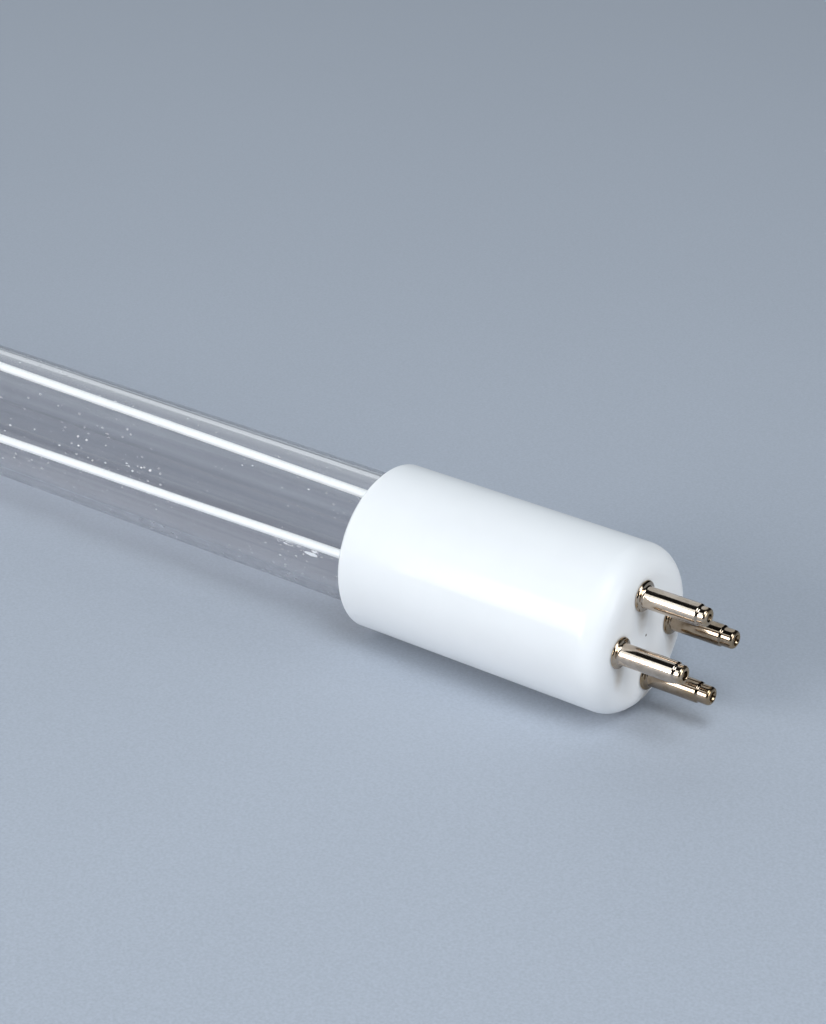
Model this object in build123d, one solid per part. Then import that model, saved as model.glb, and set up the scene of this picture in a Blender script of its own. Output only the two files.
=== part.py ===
from build123d import *
import os
from math import cos, radians, sin

# A single-ended ultraviolet lamp with four contact pins, lying on its round ceramic ends.
# The lamp is built with X along its axis, towards the pins, and the origin in the middle of the pin face.
# Z points from the axis to the side where the two return wires run.
# Each piece is turned by lamp_roll at the end.

# The whole lamp
lamp_length = 212.0
lamp_roll = 48.0

# Ceramic base and end cap
ceramic_radius = 9.3
ceramic_wall = 1.35
base_length = 33.4
base_floor = 4.5
cap_length = 22.0
cap_floor = 3.0
front_edge_round = 2.8
mouth_edge_bevel = 0.4
cap_edge_round = 2.0

# Quartz tube
tube_wall = 1.0
near_setback = 11.0
far_setback = 9.0
pinch_length = 8.0
pinch_thickness = 3.4
pinch_width = 12.6
pinch_panel_depth = 0.5
pinch_rib = 1.6
shoulder_length = 5.0
shoulder_round = 3.0
discharge_gap = 1.0
discharge_slit = 1.4
tip_radius = 1.3
tip_point_radius = 0.7
tip_clearance = 0.4

# Contact pins
pin_spacing_wide = 7.92
pin_spacing_narrow = 6.35
pin_radius = 1.175
pin_bore_radius = 0.5
pin_length = 7.8
pin_flange_radius = 1.72
pin_flange_thickness = 0.55
pin_neck_bevel = 0.2
pin_flange_bevel = 0.15
pin_nose_length = 1.4
pin_nose_radius = 1.02
pin_nose_taper = 0.15
pin_nose_bevel = 0.25
pin_rivet_height = 0.7
pin_rivet_radius = 1.65

# Leads, foils and filaments
lead_radius = 0.3
lead_flat_count = 8
lead_spacing = 5.2
lead_bend_radius = 0.8
lead_recess = 0.7
foil_width = 2.4
foil_length = 5.0
foil_thickness = 0.1
foil_cover = 1.5
filament_depth = 20.0
filament_wire_radius = 0.14
filament_flat_count = 4
filament_turns = 5
filament_pitch = 0.66
filament_coil_radius = 0.8
clamp_radius = 0.42
clamp_length = 0.9

# Return wires and their sleeves
sleeve_radius = 0.5
sleeve_wall = 0.16
sleeve_overlap = 7.0
wire_angle_at_base = 25.6
wire_angle_at_cap = 39.1
wire_lean = -1.7
wire_descent = 9.0
wire_bend_radius = 2.0
weld_length = 2.2
end_turn_room = 2.2

# Cement and mercury
cement_depth = 9.0
cement_recess = 0.6
cement_margin = 7.0
mercury_radius = 0.7
mercury_place = 0.72

# Clearances
cement_gap = 0.02
seal_gap = 0.02
pin_hole_gap = 0.025
socket_gap = 0.45
sleeve_gap = 0.15
sleeve_groove_gap = 0.1
weld_gap = 0.02
contact_gap = 0.02

# Places that follow from the sizes above
base_mouth = -base_length
cap_end = -lamp_length
cap_mouth = cap_end + cap_length
near_end = -near_setback
far_end = cap_end + far_setback
socket_radius = ceramic_radius - ceramic_wall
tube_radius = socket_radius - socket_gap
wire_distance = tube_radius + sleeve_gap + sleeve_radius
lead_offset = lead_spacing / 2
sides = {"upper": 1, "lower": -1}
ends = {"near": (near_end, -1), "far": (far_end, 1)}


def inside(end, depth):
    """Place on X that lies depth inside the tube, measured from the named end."""
    start, direction = ends[end]
    return start + direction * depth


def rod(start, finish, radius):
    """Straight round rod between two points."""
    run = finish - start
    return Plane(origin=(start + finish) / 2, z_dir=run) * Cylinder(radius, run.length)


def thin_wire(path, radius, flat_count):
    """Thin wire along a path. Its section has a few flats in place of a circle, to keep its faces few."""
    section = RegularPolygon(radius, flat_count)
    return sweep(Plane(origin=path @ 0, z_dir=path % 0) * section, path, is_frenet=True)


def drum(low, high, radius):
    """Cylinder on the lamp's axis between two places on X."""
    return Pos((low + high) / 2, 0, 0) * Rot(0, 90, 0) * Cylinder(radius, high - low)


def beside_tube(side, angle):
    """Place across the lamp of a return wire that stands at an angle from the middle of both wires."""
    turn = radians(sides[side] * angle + wire_lean)
    return Vector(0, wire_distance * sin(turn), wire_distance * cos(turn))


def wire_point(side, x):
    """Point at x on the straight line of a return wire along the tube."""
    share = (x - base_mouth) / (cap_mouth - base_mouth)
    at_base = beside_tube(side, wire_angle_at_base)
    at_cap = beside_tube(side, wire_angle_at_cap)
    return Vector(x, 0, 0) + at_base * (1 - share) + at_cap * share


def pin_place(side, row):
    """Axis of a pin: row 1 is beside the return wires, row -1 is across from them."""
    return sides[side] * pin_spacing_narrow / 2, row * pin_spacing_wide / 2


def ceramic_cup(length, floor, closed_round):
    """Round cup with its closed face at the origin, looking along +X, and a bore for the tube."""
    cup = drum(-length, 0, ceramic_radius)
    cup = fillet(cup.edges().group_by(Axis.X)[-1], closed_round)
    mouth = cup.edges().filter_by(GeomType.CIRCLE).group_by(Axis.X)[0]
    cup = chamfer(mouth, mouth_edge_bevel)
    return cup - drum(-length, -floor, socket_radius)


def sleeve_groove(side):
    """Space that a sleeve needs from the floor of the base to the floor of the cap."""
    start = wire_point(side, cap_end + cap_floor)
    finish = wire_point(side, -base_floor)
    return rod(start, finish, sleeve_radius + sleeve_groove_gap)


def pin_base():
    """Base that carries the four pins: the pins pass through holes in its floor."""
    base = ceramic_cup(base_length, base_floor, front_edge_round)
    for side in sides:
        base -= sleeve_groove(side)
        for row in (1, -1):
            hole = drum(-base_floor, 0, pin_radius + pin_hole_gap)
            base -= Pos(0, *pin_place(side, row)) * hole
    return base


def end_cap():
    """Plain cap at the far end."""
    cap = ceramic_cup(cap_length, cap_floor, cap_edge_round)
    cap = Pos(cap_end, 0, 0) * Rot(0, 0, 180) * cap
    for side in sides:
        cap -= sleeve_groove(side)
    return cap


def jaw(end, flat_depth, slope_length, half_height, reach):
    """Side of a press jaw that squeezes the tube from above: a flat, then a slope up to reach."""
    outside = inside(end, -1)
    foot = inside(end, flat_depth)
    top = inside(end, flat_depth + slope_length)
    corners = [(outside, half_height), (foot, half_height), (top, reach), (outside, reach)]
    face = make_face(Plane.XZ * Polyline(*corners, close=True))
    prism = extrude(face, reach, both=True)
    across = prism.edges().filter_by(Axis.Y)
    bend = across.filter_by(lambda edge: abs(edge.center().X - foot) < shoulder_round / 9)
    return fillet(bend, shoulder_round)


def squeezed_cylinder(radius, depth, flat_depth, thickness, width):
    """Cylinder whose two ends are pressed flat: thickness runs along Z and width along Y."""
    body = drum(inside("far", depth), inside("near", depth), radius)
    reach = radius + shoulder_round
    for end in ends:
        press = jaw(end, flat_depth, shoulder_length, thickness / 2, reach)
        trim = jaw(end, flat_depth, shoulder_length, width / 2, reach)
        for turn in (0, 180):
            body -= Rot(turn, 0, 0) * press
            body -= Rot(turn + 90, 0, 0) * trim
    return body


def pinch_panels():
    """Shallow fields that the jaws leave on both faces of each flat end, between two ribs."""
    panels = []
    field_width = pinch_width - 2 * pinch_rib
    field_length = pinch_length - 2 * pinch_rib
    for end in ends:
        for face in (1, -1):
            middle = Pos(inside(end, pinch_length / 2), 0, face * pinch_thickness / 2)
            panels.append(middle * Box(field_length, field_width, 2 * pinch_panel_depth))
    return panels


def exhaust_tip():
    """Sealed stub beside the far flat end, across from the return wires, where the tube was pumped out."""
    reach = tube_radius - tip_clearance
    height = reach - pinch_thickness / 2
    stub = Cone(tip_radius, tip_point_radius, height)
    stub = fillet(stub.edges().sort_by(Axis.Z)[-1], tip_point_radius / 2)
    place = Pos(inside("far", pinch_length + tip_radius / 2), 0, -(reach - height / 2))
    return place * Rot(180, 0, 0) * stub


def seal_space(end, side, depth):
    """Space in a flat end for a foil, for the outer lead before it and for the inner lead behind it."""
    foil_start = foil_cover
    foil_finish = foil_cover + foil_length
    space = Box(foil_length, foil_width + 2 * seal_gap, foil_thickness + 2 * seal_gap)
    space = Pos(inside(end, (foil_start + foil_finish) / 2), 0, 0) * space
    for first, last in ((-seal_gap, foil_start), (foil_finish, depth)):
        low, high = sorted((inside(end, first), inside(end, last)))
        space += drum(low, high, lead_radius + seal_gap)
    return Pos(0, sides[side] * lead_offset, 0) * space


def quartz_tube():
    """Clear tube: one body with both ends pressed flat round the foils and leads."""
    tube = squeezed_cylinder(tube_radius, 0, pinch_length, pinch_thickness, pinch_width)
    for panel in pinch_panels():
        tube -= panel
    tube += exhaust_tip()
    cavity_depth = pinch_length + discharge_gap
    cavity_width = pinch_width - 2 * tube_wall
    cavity_radius = tube_radius - tube_wall
    tube -= squeezed_cylinder(cavity_radius, cavity_depth, cavity_depth, discharge_slit, cavity_width)
    for end in ends:
        for side in sides:
            tube -= seal_space(end, side, cavity_depth + shoulder_length)
    return tube


def contact_pin():
    """Hollow pin with its axis on X: flange on the pin face, stepped nose, rivet rim inside the base."""
    inner = -base_floor
    nose = pin_length - pin_nose_length
    outline = Polyline(
        (inner - pin_rivet_height, pin_bore_radius),
        (inner - pin_rivet_height, pin_radius),
        (inner - pin_rivet_height / 2, pin_rivet_radius),
        (inner, pin_rivet_radius),
        (inner, pin_radius),
        (0, pin_radius),
        (0, pin_flange_radius),
        (pin_flange_thickness - pin_flange_bevel, pin_flange_radius),
        (pin_flange_thickness, pin_flange_radius - pin_flange_bevel),
        (pin_flange_thickness, pin_radius + pin_neck_bevel),
        (pin_flange_thickness + pin_neck_bevel, pin_radius),
        (nose - pin_nose_taper, pin_radius),
        (nose, pin_nose_radius),
        (pin_length - pin_nose_bevel, pin_nose_radius),
        (pin_length, pin_nose_radius - pin_nose_bevel),
        (pin_length, pin_bore_radius),
        close=True,
    )
    return revolve(make_face(outline), Axis.X)


def foil(end, side):
    """Thin metal foil sealed in the flat end: it joins the inner lead to the outer one."""
    strip = Box(foil_length, foil_width, foil_thickness)
    return Pos(inside(end, foil_cover + foil_length / 2), sides[side] * lead_offset, 0) * strip


def filament_place(end):
    """Places on X of the filament's middle and of its two tails, which face the near pinch."""
    middle = inside(end, filament_depth)
    return middle, middle + filament_coil_radius


def support(end, side):
    """Inner lead with a small tube across its end that grips one tail of the filament."""
    tail = filament_place(end)[1]
    y = sides[side] * lead_offset
    path = Line((inside(end, foil_cover + foil_length), y, 0), (tail, y, 0))
    lead = thin_wire(path, lead_radius, lead_flat_count)
    clamp = Pos(tail, y, 0) * Rot(90, 0, 0) * Cylinder(clamp_radius, clamp_length)
    grip = Pos(tail, y, 0) * Rot(90, 0, 0) * Cylinder(filament_wire_radius + contact_gap, clamp_length)
    return lead + clamp - grip


def filament(end):
    """Coil across the tube between the two supports, with a straight tail at each end."""
    middle, tail = filament_place(end)
    height = filament_turns * filament_pitch
    winding = Helix(filament_pitch, height, filament_coil_radius)
    coil = thin_wire(winding, filament_wire_radius, filament_flat_count)
    coil = Pos(middle, height / 2, 0) * Rot(90, 0, 0) * coil
    reach = lead_offset + clamp_length / 2
    for sign in (1, -1):
        start = sign * (height / 2 - filament_wire_radius / 2)
        path = Line((tail, start, 0), (tail, sign * reach, 0))
        coil += thin_wire(path, filament_wire_radius, filament_flat_count)
    return coil


def near_lead(side):
    """Outer lead of the near seal: it steps out of the flat end and runs on inside a pin."""
    y, z = pin_place(side, -1)
    at_seal = sides[side] * lead_offset
    points = [
        (inside("near", foil_cover), at_seal, 0),
        (near_end + lead_bend_radius, at_seal, 0),
        (-base_floor - pin_rivet_height - lead_bend_radius, y, z),
        (pin_length - lead_recess, y, z),
    ]
    return thin_wire(FilletPolyline(*points, radius=lead_bend_radius), lead_radius, lead_flat_count)


def far_lead(side):
    """Outer lead of the far seal: straight, with its outer part welded to the return wire."""
    y = sides[side] * lead_offset
    path = Line((inside("far", foil_cover), y, 0), (far_end - weld_length, y, 0))
    return thin_wire(path, lead_radius, lead_flat_count)


def return_wire(side):
    """Wire from the far lead, round the end of the tube, along it and into a pin beside it."""
    y, z = pin_place(side, 1)
    weld_y = sides[side] * lead_offset
    weld_z = 2 * lead_radius + weld_gap
    turn = far_end - weld_length - end_turn_room
    points = [
        (far_end - weld_gap, weld_y, weld_z),
        (turn, weld_y, weld_z),
        wire_point(side, turn),
        wire_point(side, inside("near", wire_descent)),
        (-base_floor - pin_rivet_height - wire_bend_radius / 2, y, z),
        (pin_length - lead_recess, y, z),
    ]
    bends = [lead_bend_radius, lead_bend_radius, wire_bend_radius, wire_bend_radius]
    return thin_wire(FilletPolyline(*points, radius=bends), lead_radius, lead_flat_count)


def sleeve(side):
    """Insulating sleeve on the straight run of a return wire, from inside the cap to inside the base."""
    start = wire_point(side, cap_mouth - sleeve_overlap)
    finish = wire_point(side, base_mouth + sleeve_overlap)
    return rod(start, finish, sleeve_radius) - rod(start, finish, sleeve_radius - sleeve_wall)


def cement(low, high, free_angle):
    """Ring of cement round the tube, left open where the two wires pass."""
    ring = drum(low, high, socket_radius - cement_gap) - drum(low, high, tube_radius + cement_gap)
    half_width = 2 * ceramic_radius * sin(radians(free_angle))
    height = 2 * ceramic_radius * cos(radians(free_angle))
    wedge = Polyline((0, 0), (half_width, height), (-half_width, height), close=True)
    opening = extrude(make_face(Plane.YZ * wedge), high - low)
    return ring - Pos(low, 0, 0) * Rot(-wire_lean, 0, 0) * opening


def base_cement():
    """Cement in the mouth of the base."""
    low = base_mouth + cement_recess
    return cement(low, low + cement_depth, wire_angle_at_base + cement_margin)


def cap_cement():
    """Cement in the mouth of the cap."""
    high = cap_mouth - cement_recess
    return cement(high - cement_depth, high, wire_angle_at_cap + cement_margin)


def mercury_bead():
    """Drop of mercury at the lowest point of the tube's inside as the lamp lies."""
    drop = tube_radius - tube_wall - mercury_radius - contact_gap
    lowest = Rot(-lamp_roll, 0, 0) * Pos(0, 0, -drop)
    return Pos(mercury_place * cap_end, 0, 0) * lowest * Sphere(mercury_radius)


def write(name, shape):
    """Turn a piece to the way the lamp lies and write it."""
    export_step(Rot(lamp_roll, 0, 0) * shape, f"parts/{name}.step")


os.makedirs("parts", exist_ok=True)
write("pin_base", pin_base())
write("end_cap", end_cap())
write("quartz_tube", quartz_tube())
write("base_cement", base_cement())
write("cap_cement", cap_cement())
write("mercury_bead", mercury_bead())
for number, (row, side) in enumerate([(1, "upper"), (1, "lower"), (-1, "upper"), (-1, "lower")], 1):
    write(f"contact_pin_{number}", Pos(0, *pin_place(side, row)) * contact_pin())
for end in ends:
    write(f"{end}_filament", filament(end))
    for side in sides:
        write(f"{end}_foil_{side}", foil(end, side))
        write(f"{end}_support_{side}", support(end, side))
for side in sides:
    write(f"near_lead_{side}", near_lead(side))
    write(f"far_lead_{side}", far_lead(side))
    write(f"return_wire_{side}", return_wire(side))
    write(f"sleeve_{side}", sleeve(side))
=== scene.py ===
"""Looks of a single-ended ultraviolet lamp.

The lamp is a clear quartz tube with flattened ends, a ceramic base with four hollow pins, a plain ceramic
cap and two sleeved return wires that run along the outside of the tube. Every length is in metres, in the
frame of the solids. A scale of a material is in waves per metre along each axis of that frame.
"""

import logging
from dataclasses import dataclass
from enum import Enum

import bmesh
import bpy
import numpy as np
from mathutils import Matrix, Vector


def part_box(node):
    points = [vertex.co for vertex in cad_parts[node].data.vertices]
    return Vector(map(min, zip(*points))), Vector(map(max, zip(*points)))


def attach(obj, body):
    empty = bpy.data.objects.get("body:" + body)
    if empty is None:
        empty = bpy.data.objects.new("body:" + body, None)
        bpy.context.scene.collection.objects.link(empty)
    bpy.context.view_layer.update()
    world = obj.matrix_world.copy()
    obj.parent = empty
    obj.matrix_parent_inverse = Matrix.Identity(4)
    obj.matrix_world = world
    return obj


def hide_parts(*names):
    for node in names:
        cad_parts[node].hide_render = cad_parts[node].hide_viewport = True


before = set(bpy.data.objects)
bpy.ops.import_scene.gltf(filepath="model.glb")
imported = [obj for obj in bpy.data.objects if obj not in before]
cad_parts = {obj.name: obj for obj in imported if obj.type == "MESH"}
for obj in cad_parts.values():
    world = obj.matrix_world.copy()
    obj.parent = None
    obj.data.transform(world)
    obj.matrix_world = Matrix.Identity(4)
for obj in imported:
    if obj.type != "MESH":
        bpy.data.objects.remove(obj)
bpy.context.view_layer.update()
MM = 0.001
SAME_PLACE = 1e-8  # distance at which two points are one
SHARP_ANGLE = 40.0  # degrees between two faces past which their edge shows sharp
BODY = "root"
LOG = logging.getLogger("uv_lamp")

Pair = tuple[float, float]
Triple = tuple[float, float, float]
Material = bpy.types.Material
Socket = bpy.types.NodeSocket


class Side(Enum):
    """The two sides of the plane midway between the return wires."""

    UPPER = "upper"
    LOWER = "lower"


class End(Enum):
    """The two ends of the tube."""

    NEAR = "near"
    FAR = "far"


@dataclass(frozen=True)
class Shell:
    """One closed surface given as a grid of points.

    Attributes:
        points: Grid of points, rows by columns by three.
        wrap_rows: True where the last row joins the first.
        hollow: True for the wall of a hollow, whose faces look into it.
    """

    points: np.ndarray
    wrap_rows: bool = False
    hollow: bool = False


def smooth_step(value: np.ndarray) -> np.ndarray:
    """Cubic that rises from 0 to 1 as value goes from 0 to 1, flat at both ends."""
    held = np.clip(value, 0.0, 1.0)
    return held * held * (3.0 - 2.0 * held)


def node_points(node: str) -> np.ndarray:
    """Points of a solid's mesh.

    Args:
        node: Name of the solid's node.

    Returns:
        Array of points by three.
    """
    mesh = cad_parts[node].data
    points = np.empty(len(mesh.vertices) * 3)
    mesh.vertices.foreach_get("co", points)
    return points.reshape(-1, 3)


def node_box(node: str) -> tuple[np.ndarray, np.ndarray]:
    """Lowest and highest corner of a solid."""
    low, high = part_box(node)
    return np.array(low), np.array(high)


def rounded(corners: list[Triple], steps: int) -> np.ndarray:
    """Closed outline with rounded corners.

    Each corner is a quadratic curve that starts and ends its radius away from the corner, along its sides.

    Args:
        corners: Each corner as two coordinates and the radius of its rounding.
        steps: Points on each rounding.

    Returns:
        Array of points by two.
    """
    table = np.array(corners)
    place, radius = table[:, :2], table[:, 2:]
    before = np.roll(place, 1, axis=0) - place
    after = np.roll(place, -1, axis=0) - place
    start = place + radius * before / np.linalg.norm(before, axis=1, keepdims=True)
    finish = place + radius * after / np.linalg.norm(after, axis=1, keepdims=True)
    share = np.linspace(0.0, 1.0, steps)[None, :, None]
    curve = (1 - share) ** 2 * start[:, None] + 2 * share * (1 - share) * place[:, None]
    return (curve + share**2 * finish[:, None]).reshape(-1, 2)


def carried(
    path: np.ndarray, first: np.ndarray, second: np.ndarray, radius: np.ndarray, columns: int
) -> np.ndarray:
    """Round section carried along a path.

    A point is the path's point plus the radius times the cosine of its angle along the first direction and
    the sine along the second one.

    Args:
        path: Points of the path.
        first: Unit vector at each point, square to the path.
        second: Unit vector at each point, square to the path and to the first.
        radius: Radius at each point.
        columns: Points round the section.

    Returns:
        Grid of points, rows by columns by three.
    """
    angle = np.linspace(0.0, 2.0 * np.pi, columns, endpoint=False)[None, :, None]
    ring = np.cos(angle) * first[:, None] + np.sin(angle) * second[:, None]
    return path[:, None] + radius[:, None, None] * ring


def shell_faces(shell: Shell) -> np.ndarray:
    """Quads of a shell whose columns close on themselves, with every face looking out of the material.

    The sign of six times the volume, a sum of triple products over the triangles, tells which way they look.

    Args:
        shell: The closed surface.

    Returns:
        Array of quads by four point numbers.
    """
    rows, columns = shell.points.shape[:2]
    index = np.arange(rows * columns).reshape(rows, columns)
    below = index if shell.wrap_rows else index[:-1]
    above = np.roll(index, -1, axis=0)[: len(below)]
    sides = [below, np.roll(below, -1, axis=1), np.roll(above, -1, axis=1), above]
    quads = np.stack(sides, axis=-1).reshape(-1, 4)
    corner = shell.points.reshape(-1, 3)[quads]
    volume = np.einsum("ij,ij->", corner[:, 0], np.cross(corner[:, 1], corner[:, 2]))
    volume += np.einsum("ij,ij->", corner[:, 0], np.cross(corner[:, 2], corner[:, 3]))
    inside_out = (volume < 0) != shell.hollow
    return quads[:, ::-1] if inside_out else quads


def build(name: str, shells: list[Shell], sharp_angle: float = SHARP_ANGLE) -> bpy.types.Object:
    """Mesh object made of one or more shells.

    Args:
        name: Name of the piece.
        shells: The closed surfaces.
        sharp_angle: Angle in degrees past which an edge shows sharp.

    Returns:
        The object, with its place in its mesh.
    """
    faces, points, count = [], [], 0
    for shell in shells:
        faces.append(shell_faces(shell) + count)
        points.append(shell.points.reshape(-1, 3))
        count += len(points[-1])
    mesh = bpy.data.meshes.new(name)
    mesh.from_pydata(np.concatenate(points).tolist(), [], np.concatenate(faces).tolist())
    work = bmesh.new()
    work.from_mesh(mesh)
    bmesh.ops.remove_doubles(work, verts=work.verts, dist=SAME_PLACE)
    bmesh.ops.dissolve_degenerate(work, edges=work.edges, dist=SAME_PLACE)
    work.to_mesh(mesh)
    work.free()
    mesh.shade_smooth()
    mesh.set_sharp_from_angle(angle=np.radians(sharp_angle))
    piece = bpy.data.objects.new(name, mesh)
    bpy.context.scene.collection.objects.link(piece)
    return piece


def finish_piece(piece: bpy.types.Object, material: Material, slot: str, *nodes: str) -> None:
    """Give a new piece its material and its body, and let it stand for solids.

    Args:
        piece: The new piece.
        material: Its material.
        slot: Name of the record's material slot; not used.
        nodes: Names of the solids that it stands for.
    """
    piece.data.materials.append(material)
    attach(piece, BODY)
    if nodes:
        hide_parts(*nodes)
    LOG.info("%s: %d faces", piece.name, len(piece.data.polygons))


def dress(node: str, material: Material) -> None:
    """Put a material on a solid that keeps its own shape.

    Args:
        node: Name of the solid's node.
        material: Its material.
    """
    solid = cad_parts[node]
    for slot in solid.material_slots:
        slot.material = material
    LOG.info("%s: dressed", node)


def toned(colour: Triple, tone: float) -> Triple:
    """Colour made darker or lighter by a factor."""
    return tuple(part * tone for part in colour)


class Layer(Enum):
    """The surfaces that can be raised, by the name of the shader's input."""

    SURFACE = "Normal"
    COAT = "Coat Normal"


class Paint:
    """Small helper that adds shader nodes to one new material."""

    def __init__(self, name: str) -> None:
        """Start a material with one Principled shader.

        Args:
            name: Name of the material.
        """
        self.material = bpy.data.materials.new(name)
        self.material.use_nodes = True
        self.tree = self.material.node_tree
        self.shader = self.tree.nodes["Principled BSDF"]
        self.output = self.tree.nodes["Material Output"]
        self.place = self.tree.nodes.new("ShaderNodeTexCoord").outputs["Object"]

    def feed(self, value: object, socket: Socket) -> None:
        """Link a socket to an input, or set the input's value.

        Args:
            value: Socket, number or three numbers.
            socket: The input.
        """
        if isinstance(value, bpy.types.NodeSocket):
            self.tree.links.new(value, socket)
        else:
            socket.default_value = (*value, 1.0) if socket.type == "RGBA" else value

    def set(self, **values: object) -> None:
        """Feed the shader's inputs: Base_Color=(r, g, b), Roughness=0.4 and so on."""
        for name, value in values.items():
            self.feed(value, self.shader.inputs[name.replace("_", " ")])

    def vector(self, operation: str, first: Socket, second: Triple = (0.0, 0.0, 0.0)) -> bpy.types.Node:
        """One step of vector arithmetic.

        Args:
            operation: Name of the step.
            first: Socket with a vector.
            second: Three numbers.

        Returns:
            The node of the step.
        """
        node = self.tree.nodes.new("ShaderNodeVectorMath")
        node.operation = operation
        node.inputs[1].default_value = second
        self.tree.links.new(first, node.inputs[0])
        return node

    def stretched(self, scale: Triple, origin: Triple = (0.0, 0.0, 0.0)) -> Socket:
        """Object coordinates about an origin, in metres, times a scale."""
        moved = self.vector("SUBTRACT", self.place, origin)
        return self.vector("MULTIPLY", moved.outputs["Vector"], scale).outputs["Vector"]

    def away(self, place: Triple, reach: Triple) -> Socket:
        """Distance from a place, counted in reaches along each axis."""
        scale = tuple(1.0 / size for size in reach)
        return self.vector("LENGTH", self.stretched(scale, place)).outputs["Value"]

    def noise(self, scale: Triple, detail: float = 3.0, roughness: float = 0.5) -> Socket:
        """Smooth random value about 0.5.

        Args:
            scale: Waves per metre along each axis.
            detail: Number of finer layers.
            roughness: Strength of the finer layers.

        Returns:
            Socket with the value.
        """
        node = self.tree.nodes.new("ShaderNodeTexNoise")
        node.inputs["Scale"].default_value = 1.0
        node.inputs["Detail"].default_value = detail
        node.inputs["Roughness"].default_value = roughness
        self.tree.links.new(self.stretched(scale), node.inputs["Vector"])
        return node.outputs[0]

    def grains(self, scale: Triple) -> Socket:
        """Distance to the nearest of a set of scattered points.

        Args:
            scale: Points per metre along each axis.

        Returns:
            Socket with the distance.
        """
        node = self.tree.nodes.new("ShaderNodeTexVoronoi")
        node.inputs["Scale"].default_value = 1.0
        self.tree.links.new(self.stretched(scale), node.inputs["Vector"])
        return node.outputs["Distance"]

    def spread(
        self, value: Socket, low: float, high: float, to_low: float = 0.0, to_high: float = 1.0
    ) -> Socket:
        """Map a value from one range to another, held at the ends.

        Args:
            value: Socket with the value.
            low: Value that gives to_low.
            high: Value that gives to_high.
            to_low: Result at and below low.
            to_high: Result at and above high.

        Returns:
            Socket with the result.
        """
        node = self.tree.nodes.new("ShaderNodeMapRange")
        for name, number in zip(("From Min", "From Max", "To Min", "To Max"), (low, high, to_low, to_high)):
            node.inputs[name].default_value = number
        self.tree.links.new(value, node.inputs["Value"])
        return node.outputs[0]

    def math(self, operation: str, first: Socket, second: Socket) -> Socket:
        """One step of arithmetic.

        Args:
            operation: Name of the step.
            first: Socket with a number.
            second: Socket with a number.

        Returns:
            Socket with the result.
        """
        node = self.tree.nodes.new("ShaderNodeMath")
        node.operation = operation
        self.tree.links.new(first, node.inputs[0])
        self.tree.links.new(second, node.inputs[1])
        return node.outputs[0]

    def mixed(self, share: Socket, first: object, second: object) -> Socket:
        """Colour between two colours, each a socket or three numbers.

        A Mix node holds its two colours in inputs 6 and 7 and gives a colour at output 2.

        Args:
            share: Socket with the second colour's share.
            first: Colour where the share is 0.
            second: Colour where the share is 1.

        Returns:
            Socket with the colour.
        """
        node = self.tree.nodes.new("ShaderNodeMix")
        node.data_type = "RGBA"
        self.tree.links.new(share, node.inputs["Factor"])
        self.feed(first, node.inputs[6])
        self.feed(second, node.inputs[7])
        return node.outputs[2]

    def bump(self, height: Socket, depth: float, layer: Layer = Layer.SURFACE) -> None:
        """Raise the surface, or its clear coat.

        Args:
            height: Socket with a height between 0 and 1.
            depth: Height in metres that 1 stands for.
            layer: What is raised.
        """
        node = self.tree.nodes.new("ShaderNodeBump")
        node.inputs["Distance"].default_value = depth
        self.tree.links.new(height, node.inputs["Height"])
        self.tree.links.new(node.outputs["Normal"], self.shader.inputs[layer.value])


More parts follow.
